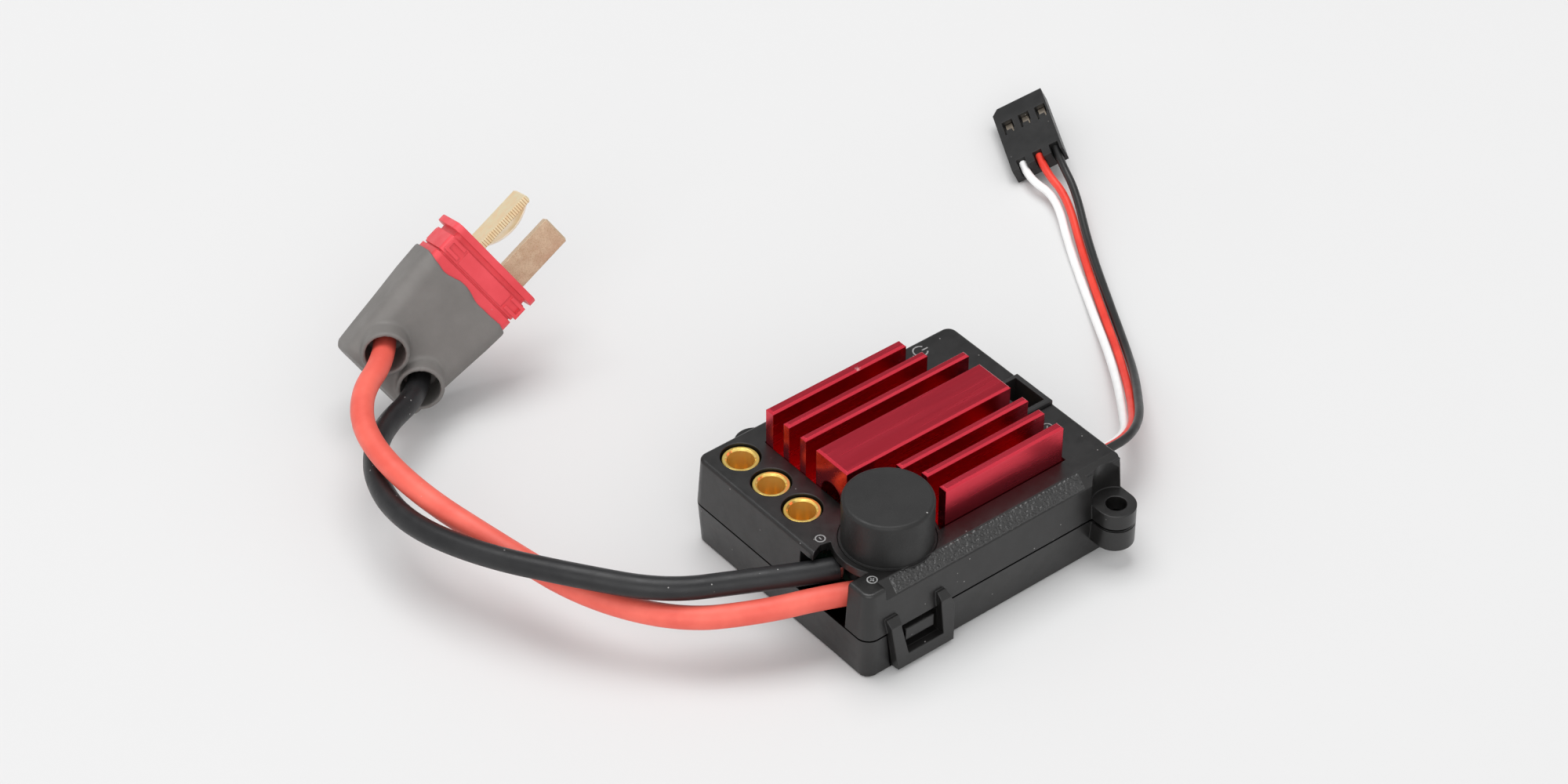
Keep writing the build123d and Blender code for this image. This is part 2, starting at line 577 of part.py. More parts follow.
# the key: a flange that stops behind the wall and a cap through it
with BuildPart() as power_button:
    with BuildSketch(Plane.YZ.offset(SWITCH_FACE + BUTTON_TRAVEL + 0.05)):
        with Locations((BUTTON_Y, BUTTON_Z)):
            Circle(BUTTON_RADIUS + 0.5)
    extrude(amount=BUTTON_FLANGE)
    with BuildSketch(Plane.YZ.offset(SWITCH_FACE + BUTTON_TRAVEL + 0.05)):
        with Locations((BUTTON_Y, BUTTON_Z)):
            Circle(BUTTON_RADIUS - 0.1)
    extrude(amount=BUTTON_FRONT - SWITCH_FACE - BUTTON_TRAVEL - 0.05)
    fillet(power_button.edges().group_by(Axis.X)[-1], 0.3)
save(power_button.part, "power_button")
with BuildPart() as status_light:
    with BuildSketch(Plane.YZ.offset(18.6)):
        with Locations(LIGHT):
            Circle(LIGHT_RADIUS)
    extrude(amount=2.5)
save(status_light.part, "status_light")

# ---------------------------------------------------------------- battery lead
for colour, route in (("red", RED_ROUTE), ("black", BLACK_ROUTE)):
    start = Vector(*route[0])
    with BuildPart() as battery_lug:
        with BuildSketch(Plane(origin=start, x_dir=(0, 0, 1), z_dir=start - Vector(*route[1]))):
            Rectangle(1.9, 1.9)
        extrude(amount=0.5)
    save(battery_lug.part, f"battery_lug_{colour}")

cord(with_end(RED_ROUTE, -1), WIRE, "power_wire_red")
cord(with_end(BLACK_ROUTE, 1), WIRE, "power_wire_black")

# ---------------------------------------------------------------- T-plug
# each step of the body behind its flange: width, thickness, corner radius, front and rear
PLUG_STEPS = (
    (FLANGE[0], FLANGE[1], 1.2, 0.0, -FLANGE[2]),
    (13.4, 6.2, 0.8, -FLANGE[2], -1.7),
    (14.2, 6.6, 0.9, -1.7, -4.1),
    (13.6, 6.2, 0.8, -4.1, -4.4),
    (BAND[0], BAND[1], 1.0, -4.4, BAND_REAR),
    (TAIL[0], TAIL[1], 1.0, BAND_REAR, TAIL_REAR),
)
with BuildPart() as plug_body:
    for width, thickness, corner, front, rear in PLUG_STEPS:
        with BuildSketch(cross_plane(PLUG, length=front)):
            RectangleRounded(width, thickness, corner)
        extrude(amount=rear - front)
    chamfer(plug_body.faces().sort_by(Axis(PLUG.origin, PLUG.y_dir))[-1].edges(), 0.12)
    for face in (-1, 1):
        # grip ribs at both ends of each broad face and a blank panel between them
        with BuildSketch(face_plane(PLUG, n=face * 3.2)):
            with Locations(*((w, length) for w in (-5.55, 5.95) for length in (-2.1, -3.5))):
                Rectangle(2.3, 0.5)
            with Locations((-6.6, -2.8), (6.95, -2.8)):
                Rectangle(0.4, 1.9)
        extrude(amount=face * 0.38)
        with BuildSketch(face_plane(PLUG, n=face * 3.2)):
            with Locations((0.2, -2.85)):
                Rectangle(8.4, 2.1)
        extrude(amount=face * 0.22)
    with BuildSketch(cross_plane(PLUG)):
        with Locations((BLADE_UPRIGHT_W, 0)):
            Rectangle(BLADE[1], BLADE[0])
        with Locations((BLADE_FLAT_W, 0)):
            Rectangle(BLADE[0], BLADE[1])
    extrude(amount=TAIL_REAR, mode=Mode.SUBTRACT)
save(plug_body.part, "plug_body")

for name, w, size in (
    ("plug_blade_upright", BLADE_UPRIGHT_W, (BLADE[1], BLADE[0])),
    ("plug_blade_flat", BLADE_FLAT_W, (BLADE[0], BLADE[1])),
):
    with BuildPart() as plug_blade:
        with BuildSketch(cross_plane(PLUG, length=TAIL_REAR)):
            with Locations((w, 0)):
                Rectangle(*size)
        extrude(amount=BLADE[2] - TAIL_REAR)
        chamfer(plug_blade.faces().sort_by(Axis(PLUG.origin, PLUG.y_dir))[-1].edges(), 0.25)
    save(plug_blade.part, name)

# Bowed contact springs: one on the upright blade's inner side, one under the flat blade
SPRING_PLANES = (
    ("blade_spring_upright", face_plane(PLUG, w=BLADE_UPRIGHT_W + BLADE[1] / 2, n=-1.5), 1),
    ("blade_spring_flat", side_plane(PLUG, w=BLADE_FLAT_W - 1.5, n=-BLADE[1] / 2), 0),
)
for name, plane, upright in SPRING_PLANES:
    with BuildPart() as blade_spring:
        with BuildSketch(plane):
            with BuildLine():
                if upright:
                    outer = ThreePointArc((0, 0.4), (1.35, 4.3), (0, BLADE[2] - 0.4))
                    inner = ThreePointArc((0, BLADE[2] - 0.7), (1.1, 4.3), (0, 0.7))
                else:
                    outer = ThreePointArc((0.4, 0), (4.3, -1.35), (BLADE[2] - 0.4, 0))
                    inner = ThreePointArc((BLADE[2] - 0.7, 0), (4.3, -1.1), (0.7, 0))
                Line(outer @ 1, inner @ 0)
                Line(inner @ 1, outer @ 0)
            make_face()
        extrude(amount=3.0)
    save(blade_spring.part, name)

with BuildPart() as plug_boot:
    with BuildSketch(cross_plane(PLUG, length=BOOT_FRONT)):
        RectangleRounded(BOOT_WIDTHS[0], BOOT_THICKNESS, 1.6)
    with BuildSketch(cross_plane(PLUG, length=BOOT_REAR)):
        RectangleRounded(BOOT_WIDTHS[1], BOOT_THICKNESS - 0.4, 1.6)
    loft()
    for side in (-1, 1):
        rim = collar_rim(side)
        with BuildSketch(Plane(origin=rim, z_dir=COLLAR_AXIS)):
            Circle(COLLAR_OD / 2)
        extrude(amount=-5.0)
    for side in (-1, 1):
        with BuildSketch(Plane(origin=collar_rim(side), z_dir=COLLAR_AXIS)):
            Circle(COLLAR_ID / 2)
        extrude(amount=-COLLAR_DEPTH, mode=Mode.SUBTRACT)
    # the plug's band and tail sit in the boot, and its front edge is wavy
    with BuildSketch(cross_plane(PLUG, length=BOOT_FRONT)):
        RectangleRounded(BAND[0] + 0.1, BAND[1] + 0.1, 1.0)
    extrude(amount=BAND_REAR - BOOT_FRONT, mode=Mode.SUBTRACT)
    with BuildSketch(cross_plane(PLUG, length=BAND_REAR)):
        RectangleRounded(*TAIL, 1.0)
    extrude(amount=TAIL_REAR - BAND_REAR, mode=Mode.SUBTRACT)
    with BuildSketch(face_plane(PLUG, n=-BOOT_THICKNESS)):
        with BuildLine():
            wave = Spline(*BOOT_WAVE)
            Polyline(wave @ 1, (BOOT_WAVE[-1][0], 0), (BOOT_WAVE[0][0], 0), wave @ 0)
        make_face()
    extrude(amount=2 * BOOT_THICKNESS, mode=Mode.SUBTRACT)
save(plug_boot.part, "plug_boot")

# ---------------------------------------------------------------- servo lead and its plug
SERVO_COLOURS = ("white", "red", "black")
SERVO_MIDDLES = (
    [
        (29.3, -7.8, 5.9), (33.6, -3.1, 4.0), (41.0, 6.7, 2.0),
        (48.5, 19.6, 0.6), (54.7, 30.7, 0.6), (60.1, 39.4, 1.6),
    ],
    [
        (29.5, -9.0, 7.2), (36.9, -1.2, 3.5), (44.1, 9.2, 1.3),
        (47.9, 15.9, 0.8), (55.1, 28.3, 0.5), (60.7, 37.8, 2.2),
    ],
    [
        (30.1, -9.9, 8.2), (40.1, 1.5, 3.5), (45.2, 8.7, 1.4),
        (49.7, 16.3, 0.7), (56.5, 28.8, 1.4), (61.8, 37.4, 3.0),
    ],
)
servo_width, servo_length, servo_thickness = SERVO_SIZE
for index, colour in enumerate(SERVO_COLOURS):
    across = (index - 1) * PITCH + SERVO_PIN_W
    start = (16.6, *LEAD_EXITS[index])
    exit_point = (21.6, *LEAD_EXITS[index])
    throat = tuple(SERVO.from_local_coords(Vector(across, -servo_length - 1.6, SERVO_WIRE_N)))
    seat = tuple(SERVO.from_local_coords(Vector(across, -servo_length + 1.75, SERVO_WIRE_N)))
    cord([start, exit_point] + SERVO_MIDDLES[index] + [throat, seat], LEAD, f"servo_wire_{colour}")

with BuildPart() as servo_plug_housing:
    with BuildSketch(face_plane(SERVO, n=-servo_thickness / 2)):
        half = servo_width / 2
        Polygon(
            (-half + 0.9, 0), (half, 0), (half, -servo_length), (-half, -servo_length), (-half, -1.1),
            align=None,
        )
    extrude(amount=servo_thickness)
    for index in range(3):
        across = (index - 1) * PITCH + SERVO_PIN_W
        # wire throat at the rear, latch window on the face, pin hole at the front
        with BuildSketch(face_plane(SERVO, w=across, n=-servo_thickness / 2 + 0.6)):
            with Locations((0, -servo_length)):
                Rectangle(LEAD + 0.2, 3.6)
        extrude(amount=servo_thickness, mode=Mode.SUBTRACT)
        with BuildSketch(face_plane(SERVO, w=across, n=0.2)):
            with Locations((0, -4.3)):
                Rectangle(1.6, 2.0)
            with Locations((-0.65, -5.6), (0.5, -5.4)):
                Rectangle(0.3, 1.2)
        extrude(amount=servo_thickness, mode=Mode.SUBTRACT)
        with BuildSketch(cross_plane(SERVO, w=across, length=-5.5)):
            Rectangle(1.1, 1.1)
        extrude(amount=8, mode=Mode.SUBTRACT)
save(servo_plug_housing.part, "servo_plug_housing")
for index, colour in enumerate(SERVO_COLOURS):
    contact_rear = cross_plane(SERVO, w=(index - 1) * PITCH + SERVO_PIN_W, length=-5.4)
    with BuildPart() as servo_contact:
        with BuildSketch(contact_rear):
            Rectangle(1.0, 1.0)
        extrude(amount=5.0)
        with BuildSketch(contact_rear):
            Rectangle(0.7, 0.7)
        extrude(amount=5.0, mode=Mode.SUBTRACT)
    save(servo_contact.part, f"servo_contact_{colour}")
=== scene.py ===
import json
import math

import bmesh
import bpy
from mathutils import Matrix, Vector, noise


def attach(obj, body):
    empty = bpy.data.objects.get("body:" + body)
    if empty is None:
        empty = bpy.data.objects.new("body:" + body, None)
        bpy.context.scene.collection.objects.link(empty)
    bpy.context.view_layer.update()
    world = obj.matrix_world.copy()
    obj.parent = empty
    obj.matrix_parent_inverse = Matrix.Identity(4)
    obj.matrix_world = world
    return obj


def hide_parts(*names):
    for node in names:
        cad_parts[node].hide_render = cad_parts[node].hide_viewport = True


MM = 0.001


def mm(*values):
    return Vector(values) * MM


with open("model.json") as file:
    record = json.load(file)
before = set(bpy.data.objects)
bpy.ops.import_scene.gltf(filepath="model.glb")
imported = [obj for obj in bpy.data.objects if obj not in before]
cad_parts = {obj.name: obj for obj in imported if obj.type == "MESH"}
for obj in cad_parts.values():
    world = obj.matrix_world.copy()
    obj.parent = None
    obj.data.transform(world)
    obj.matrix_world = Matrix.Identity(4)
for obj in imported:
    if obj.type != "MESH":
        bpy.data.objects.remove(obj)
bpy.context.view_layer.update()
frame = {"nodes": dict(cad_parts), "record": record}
nodes = frame["nodes"]
scene = bpy.context.scene
scene.view_settings.view_transform = "Standard"

# ---------------------------------------------------------------- camera
CAMERA_AZIMUTH = math.radians(-38.842)
CAMERA_ELEVATION = math.radians(40.134)
CAMERA_ROLL = math.radians(0.11)
CAMERA_TARGET = mm(5.54, 31.83, 0)
CAMERA_DISTANCE = 525.38 * MM
CAMERA_LENS = 91.91

flat = math.cos(CAMERA_ELEVATION)
back = Vector((math.sin(CAMERA_AZIMUTH) * flat, -math.cos(CAMERA_AZIMUTH) * flat, math.sin(CAMERA_ELEVATION)))
right = Vector((math.cos(CAMERA_AZIMUTH), math.sin(CAMERA_AZIMUTH), 0))
up = back.cross(right)
rolled_right = right * math.cos(CAMERA_ROLL) + up * math.sin(CAMERA_ROLL)
rolled_up = up * math.cos(CAMERA_ROLL) - right * math.sin(CAMERA_ROLL)
turn = Matrix((rolled_right, rolled_up, back)).transposed().to_4x4()
camera = bpy.data.objects.new("camera", bpy.data.cameras.new("camera"))
camera.data.lens = CAMERA_LENS
camera.data.sensor_width = 36.0
camera.data.clip_start = 0.01
camera.matrix_world = Matrix.Translation(CAMERA_TARGET + back * CAMERA_DISTANCE) @ turn
scene.collection.objects.link(camera)
scene.camera = camera

# ---------------------------------------------------------------- places shared by shapes and materials
PLUG_ORIGIN = mm(-20.05, 60.98, 17.18)
PLUG_AXES = Matrix((
    (0.43748, 0.87703, -0.19857),
    (-0.44620, 0.02000, -0.89471),
    (-0.78072, 0.48002, 0.40008),
))                       # columns: across the plug, along it, out of its broad face
SEAM = 6.4 * MM           # height of the parting line between the two shells
WALL = 17.14 * MM         # just outside the case's side walls
NICK = mm(1.4, 12.1, 19.0)
ALONG_X = (0.06, 1.0, 1.0)
DUST = (0.42, 0.41, 0.40)

# ---------------------------------------------------------------- materials
class Surface:
    """A principled material whose colour, roughness and relief come from procedural nodes."""

    def __init__(self, name, roughness, metallic=0.0, specular=0.5, stretch=None):
        self.material = bpy.data.materials.new(name)
        self.material.use_nodes = True
        self.tree = self.material.node_tree
        self.shader = self.tree.nodes["Principled BSDF"]
        self.shader.inputs["Metallic"].default_value = metallic
        self.shader.inputs["Specular IOR Level"].default_value = specular
        self.place = self.node("ShaderNodeTexCoord").outputs["Object"]
        self.normal = None
        low, high, scale = roughness
        patches = self.noise(scale, 4, stretch)
        self.link(self.mapped(patches, 0.35, 0.65, low, high), self.shader.inputs["Roughness"])

    def node(self, kind, **settings):
        made = self.tree.nodes.new(kind)
        for key, value in settings.items():
            setattr(made, key, value)
        return made

    def link(self, source, target):
        self.tree.links.new(source, target)

    def stretched(self, stretch):
        if stretch is None:
            return self.place
        mapping = self.node("ShaderNodeMapping")
        mapping.inputs["Scale"].default_value = stretch
        self.link(self.place, mapping.inputs["Vector"])
        return mapping.outputs["Vector"]

    def noise(self, scale, detail=3, stretch=None):
        made = self.node("ShaderNodeTexNoise")
        made.inputs["Scale"].default_value = scale
        made.inputs["Detail"].default_value = detail
        made.inputs["Roughness"].default_value = 0.6
        self.link(self.stretched(stretch), made.inputs["Vector"])
        return made.outputs["Fac"]

    def cells(self, scale):
        """Distance to the nearest of many scattered points."""
        made = self.node("ShaderNodeTexVoronoi", feature="F1")
        made.inputs["Scale"].default_value = scale
        self.link(self.place, made.inputs["Vector"])
        return made.outputs["Distance"]

    def mapped(self, source, low, high, to_low, to_high):
        made = self.node("ShaderNodeMapRange")
        for key, value in zip(("From Min", "From Max", "To Min", "To Max"), (low, high, to_low, to_high)):
            made.inputs[key].default_value = value
        self.link(source, made.inputs["Value"])
        return made.outputs["Result"]

    def mixed(self, factor, first, second):
        made = self.node("ShaderNodeMix", data_type="RGBA")
        self.link(factor, made.inputs["Factor"])
        for socket, value in ((made.inputs["A"], first), (made.inputs["B"], second)):
            if isinstance(value, tuple):
                socket.default_value = (*value, 1.0)
            else:
                self.link(value, socket)
        return made.outputs["Result"]

    def tones(self, dark, light, scale, stretch=None):
        """Two close colours in soft patches."""
        patches = self.mapped(self.noise(scale, 3, stretch), 0.35, 0.65, 0.0, 1.0)
        self.colour = self.mixed(patches, dark, light)
        return self

    def specks(self, scale, size, colour):
        """Dust: small light dots in some of the cells."""
        dots = self.mapped(self.cells(scale), size, size * 0.6, 0.0, 0.75)
        some = self.mapped(self.noise(scale * 0.31, 1), 0.56, 0.6, 0.0, 1.0)
        self.colour = self.mixed(self.math("MULTIPLY", dots, some), self.colour, colour)
        return self

    def math(self, operation, first, second):
        made = self.node("ShaderNodeMath", operation=operation)
        for socket, value in zip(made.inputs, (first, second)):
            if isinstance(value, float):
                socket.default_value = value
            else:
                self.link(value, socket)
        return made.outputs["Value"]

    def along(self, origin, axis):
        """Distance in metres from a point, measured along an axis."""
        away = self.node("ShaderNodeVectorMath", operation="SUBTRACT")
        self.link(self.place, away.inputs[0])
        away.inputs[1].default_value = origin
        made = self.node("ShaderNodeVectorMath", operation="DOT_PRODUCT")
        self.link(away.outputs["Vector"], made.inputs[0])
        made.inputs[1].default_value = axis
        return made.outputs["Value"]

    def mark(self, centre, radius, colour):
        """A ragged spot of another colour around one point."""
        away = self.node("ShaderNodeVectorMath", operation="DISTANCE")
        self.link(self.place, away.inputs[0])
        away.inputs[1].default_value = centre
        uneven = self.mapped(self.noise(3000, 2), 0.3, 0.7, 0.0, radius)
        ragged = self.math("ADD", away.outputs["Value"], uneven)
        inside = self.mapped(ragged, radius * 1.25, radius * 0.85, 0.0, 0.8)
        self.colour = self.mixed(inside, self.colour, colour)
        return self

    def rounded(self, radius):
        made = self.node("ShaderNodeBevel", samples=6)
        made.inputs["Radius"].default_value = radius * MM
        self.normal = made.outputs["Normal"]
        return self

    def relief(self, height, depth):
        made = self.node("ShaderNodeBump")
        made.inputs["Distance"].default_value = depth * MM
        made.inputs["Strength"].default_value = 1.0
        self.link(height, made.inputs["Height"])
        if self.normal is not None:
            self.link(self.normal, made.inputs["Normal"])
        self.normal = made.outputs["Normal"]
        return self

    def done(self):
        self.link(self.colour, self.shader.inputs["Base Color"])
        if self.normal is not None:
            self.link(self.normal, self.shader.inputs["Normal"])
        return self.material


def moulded(name, dark, light, roughness):
    """Hard plastic with a fine grain, a slight waviness and some dust."""
    made = Surface(name, roughness, specular=0.45).tones(dark, light, 220).specks(900, 0.09, DUST)
    made.rounded(0.22).relief(made.noise(9000, 3), 0.012).relief(made.noise(500, 2), 0.012)
    return made.done()


def case_nylon(name, roughness, specular):
    """The case's satin black. The parting line's gap is painted black with no reflection, as painted shade,
    except where the snap loops cross it.
    """
    made = Surface(name, roughness, specular=specular)
    made.tones((0.006, 0.0057, 0.0055), (0.010, 0.0095, 0.0092), 220)
    made.specks(900, 0.09, DUST)
    off_seam = made.math("ABSOLUTE", made.along((0, 0, SEAM), (0, 0, 1)), 0.0)
    along_x = made.along((0, 0, 0), (1, 0, 0))
    along_y = made.along((0, 0, 0), (0, 1, 0))
    proud = made.math("GREATER_THAN", made.math("ABSOLUTE", along_y, 0.0), WALL)
    loop_side = made.math("GREATER_THAN", made.math("MULTIPLY", along_x, along_y), 0.0)
    loop = made.math("MULTIPLY", proud, loop_side)
    # painted shade: a strip about 0.1 mm to each side of the parting line is black and fully metallic, so it
    # reflects nothing; the snap loops are left out
    clear_of_seam_shade = made.math("MAXIMUM", loop, made.mapped(off_seam, 0.1 * MM, 0.16 * MM, 0.0, 1.0))
    made.colour = made.mixed(clear_of_seam_shade, (0.001, 0.001, 0.001), made.colour)
    made.link(made.mapped(clear_of_seam_shade, 0.0, 1.0, 1.0, 0.0), made.shader.inputs["Metallic"])
    made.rounded(0.22).relief(made.noise(9000, 3), 0.012).relief(made.noise(500, 2), 0.012)
    return made.done()


def metal(name, dark, light, roughness, grain, edge=0.12, metallic=1.0):
    made = Surface(name, roughness, metallic=metallic).tones(dark, light, 300)
    made.rounded(edge).relief(made.noise(2500, 3), grain)
    return made.done()


def anodised():
    """Dyed aluminium, brushed along the fins, with a dent in the left fin's edge and some dust."""
    made = Surface("anodised", (0.24, 0.28, 900), metallic=1.0, stretch=ALONG_X)
    made.tones((0.74, 0.047, 0.075), (0.78, 0.055, 0.086), 700, ALONG_X).specks(520, 0.07, (0.95, 0.6, 0.62))
    made.mark(NICK, 0.45 * MM, (0.95, 0.45, 0.47))
    made.rounded(0.12).relief(made.noise(2500, 3, ALONG_X), 0.0012)
    return made.done()


def blade_metal(name, serrated):
    """Worn gold plate; one blade's narrow edge is cut across in fine steps, with painted shade in dark
    stripes between them.
    """
    pitch, edge = 0.36 * MM, 1.98 * MM
    if serrated:
        dark, light = (1.0, 0.75, 0.44), (1.0, 0.86, 0.58)
    else:
        dark, light = (0.76, 0.57, 0.4), (0.88, 0.7, 0.51)
    made = Surface(name, (0.28, 0.4, 900), metallic=1.0).tones(dark, light, 900)
    wear_and_step_shade = made.mapped(made.noise(6500, 3), 0.45, 0.7, 0.1, 0.5)
    if serrated:
        # painted shade: on the serrated blade the worn grain is replaced by dark stripes across its narrow
        # edge, standing for the shade between the steps
        across = made.math("MULTIPLY", made.along(PLUG_ORIGIN, PLUG_AXES.col[1]), 2 * math.pi / pitch)
        steps = made.math("GREATER_THAN", made.math("SINE", across, 0.0), 0.55)
        on_edge = made.math("GREATER_THAN", made.along(PLUG_ORIGIN, PLUG_AXES.col[2]), edge)
        wear_and_step_shade = made.math("MULTIPLY", made.math("MULTIPLY", steps, on_edge), 0.75)
    made.colour = made.mixed(wear_and_step_shade, made.colour, (0.5, 0.27, 0.1))
    made.rounded(0.08).relief(made.noise(2500, 3), 0.012)
    return made.done()


def rubber(name, dark, light, roughness, speck_scale, grain, specular=0.4):
    """Soft matt material with a fine grain and dust on it."""
    made = Surface(name, roughness, specular=specular).tones(dark, light, 180).specks(speck_scale, 0.1, DUST)
    made.rounded(0.15).relief(made.noise(5000, 4), grain).relief(made.noise(350, 2), grain)
    return made.done()


def insulation(name, dark, light, roughness):
    """The thin servo wires' smooth sleeve."""
    made = Surface(name, roughness, specular=0.5).tones(dark, light, 260)
    made.relief(made.noise(900, 3), 0.02)
    return made.done()


materials = {
    "black_plastic": case_nylon("case_nylon", (0.28, 0.38, 600), 0.55),
    "connector_black": moulded(
        "connector_nylon", (0.011, 0.011, 0.011), (0.018, 0.018, 0.018), (0.38, 0.5, 700),
    ),
    "button_black": moulded(
        "key_rubber", (0.02, 0.02, 0.02), (0.032, 0.032, 0.032), (0.55, 0.65, 700),
    ),
    "chip_black": moulded("chip_epoxy", (0.02, 0.02, 0.021), (0.035, 0.035, 0.036), (0.5, 0.62, 900)),
    "ferrite": moulded("ferrite", (0.08, 0.08, 0.085), (0.13, 0.13, 0.135), (0.55, 0.7, 900)),
    "circuit_board": moulded(
        "solder_mask", (0.006, 0.02, 0.012), (0.009, 0.03, 0.018), (0.35, 0.45, 900),
    ),
    "light_lens": moulded("lens_red", (0.5, 0.03, 0.02), (0.65, 0.06, 0.04), (0.15, 0.25, 900)),
    "black_rubber": rubber(
        "cap_rubber", (0.009, 0.0088, 0.0087), (0.014, 0.0138, 0.0136), (0.42, 0.54, 400), 700, 0.02,
    ),
    "thermal_pad": rubber("pad", (0.3, 0.36, 0.42), (0.38, 0.44, 0.5), (0.6, 0.7, 400), 700, 0.02),
    "red_anodised": anodised(),
    "gold_plate": metal(
        "gold", (1.0, 0.64, 0.14), (1.0, 0.77, 0.24), (0.08, 0.13, 900), 0.004, 0.08, 0.7,
    ),
    "solder": metal("solder", (0.5, 0.5, 0.5), (0.66, 0.66, 0.65), (0.25, 0.4, 700), 0.02),
    "contact_tin": metal("tin", (0.55, 0.46, 0.36), (0.75, 0.66, 0.54), (0.25, 0.4, 700), 0.01, 0.05),
    "capacitor_can": metal("can", (0.6, 0.6, 0.62), (0.75, 0.75, 0.77), (0.25, 0.35, 700), 0.006),
    "silicone_red": rubber(
        "silicone_red", (0.74, 0.105, 0.075), (0.84, 0.145, 0.105), (0.4, 0.52, 500), 900, 0.02,
    ),
    "silicone_black": rubber(
        "silicone_black", (0.008, 0.008, 0.009), (0.016, 0.016, 0.017), (0.34, 0.46, 500), 900, 0.02,
    ),
    "lead_white": insulation("lead_white", (0.86, 0.85, 0.84), (0.93, 0.93, 0.93), (0.32, 0.42, 500)),
    "lead_red": insulation("lead_red", (0.74, 0.04, 0.025), (0.84, 0.06, 0.035), (0.32, 0.42, 500)),
    "lead_black": insulation("lead_black", (0.01, 0.01, 0.01), (0.018, 0.018, 0.018), (0.32, 0.42, 500)),
    "plug_red": rubber(
        "plug_red", (0.71, 0.05, 0.064), (0.81, 0.072, 0.09), (0.36, 0.5, 500), 600, 0.015, 0.5,
    ),
    "boot_grey": rubber(
        "boot_grey", (0.16, 0.151, 0.143), (0.187, 0.177, 0.168), (0.5, 0.62, 500), 500, 0.02,
    ),
}
worn = {
    "plug_blade_upright": blade_metal("blade_serrated", True),
    "plug_blade_flat": blade_metal("blade_grainy", False),
    "blade_spring_upright": metal(
        "spring", (0.9, 0.78, 0.6), (1.0, 0.9, 0.76), (0.3, 0.4, 900), 0.01, 0.06,
    ),
}
worn["blade_spring_flat"] = worn["blade_spring_upright"]
for part in frame["record"]["subparts"]:
    mesh = nodes[part["node"]].data
    mesh.materials.clear()
    mesh.materials.append(worn.get(part["node"], materials[part["material_slot"]]))

# ---------------------------------------------------------------- cords
PLUG_PIECES = [
    nodes[name] for name in
    ("plug_body", "plug_blade_upright", "plug_blade_flat", "blade_spring_upright", "blade_spring_flat")
]
BATTERY_WIRE = 0.003
LEAD_WIRE = 0.00115


def cord(name, points, diameter, slot, tube):
    """A wire along its route; it stands for the CAD tube and is attached to the housing body."""
    curve = bpy.data.curves.new(name, "CURVE")
    curve.dimensions = "3D"
    curve.resolution_u = 20
    curve.bevel_depth = diameter / 2
    curve.bevel_resolution = 8
    curve.use_fill_caps = True
    spline = curve.splines.new("NURBS")
    spline.points.add(len(points) - 1)
    for point, place in zip(spline.points, points):
        point.co = (*place, 1.0)
    spline.order_u = 3
    spline.use_endpoint_u = True
    curve.materials.append(materials[slot])
    made = bpy.data.objects.new(name, curve)
    scene.collection.objects.link(made)
    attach(made, "housing")
    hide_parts(tube)


RED_POINTS = [
    (-0.0179, -0.0110, 0.0089), (-0.0214, -0.0093, 0.0089), (-0.0284, -0.0064, 0.0085),
    (-0.0367, -0.0009, 0.0078), (-0.0431, 0.0099, 0.0077), (-0.0464, 0.0221, 0.0090),
    (-0.0506, 0.0342, 0.0119), (-0.0504, 0.0455, 0.0129), (-0.0464, 0.0525, 0.0133),
    (-0.03958, 0.05681, 0.01298), (-0.03624, 0.06192, 0.01192),
]
BLACK_POINTS = [
    (-0.0179, -0.0076, 0.0104), (-0.0214, -0.0062, 0.0106), (-0.0283, -0.0028, 0.0108),
    (-0.0370, 0.0016, 0.0110), (-0.0441, 0.0101, 0.0116), (-0.0505, 0.0212, 0.0107),
    (-0.0538, 0.0327, 0.0099), (-0.0514, 0.0430, 0.0090), (-0.0454, 0.0502, 0.0084),
    (-0.0366, 0.05377, 0.00767), (-0.03327, 0.05889, 0.00661),
]
WHITE_LEAD_POINTS = [
    (0.0166, -0.0083, 0.0071), (0.0216, -0.0083, 0.0071), (0.0293, -0.0078, 0.0059),
    (0.0336, -0.0031, 0.004), (0.041, 0.0067, 0.002), (0.0485, 0.0196, 0.0006),
    (0.0547, 0.0307, 0.0006), (0.0601, 0.0394, 0.0016), (0.05958, 0.04479, 0.00198),
    (0.0612, 0.04772, 0.00201),
]
RED_LEAD_POINTS = [
    (0.0166, -0.0093, 0.0078), (0.0216, -0.0093, 0.0078), (0.0295, -0.009, 0.0072),
    (0.0369, -0.0012, 0.0035), (0.0441, 0.0092, 0.0013), (0.0479, 0.0159, 0.0008),
    (0.0551, 0.0283, 0.0005), (0.0607, 0.0378, 0.0022), (0.06158, 0.04367, 0.00309),
    (0.0632, 0.0466, 0.00312),
]
BLACK_LEAD_POINTS = [
    (0.0166, -0.0103, 0.0086), (0.0216, -0.0103, 0.0086), (0.0301, -0.0099, 0.0082),
    (0.0401, 0.0015, 0.0035), (0.0452, 0.0087, 0.0014), (0.0497, 0.0163, 0.0007),
    (0.0565, 0.0288, 0.0014), (0.0618, 0.0374, 0.003), (0.06358, 0.04256, 0.00419),
    (0.0652, 0.04549, 0.00422),
]


# ---------------------------------------------------------------- mesh helpers
CORNER_STEPS = 6


def piece(name, mesh, slot, smooth=False, material=None):
    """A new visible piece on the housing body."""
    made = bpy.data.objects.new(name, mesh)
    scene.collection.objects.link(made)
    mesh.materials.append(material or materials[slot])
    for face in mesh.polygons:
        face.use_smooth = smooth
    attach(made, "housing")
    return made


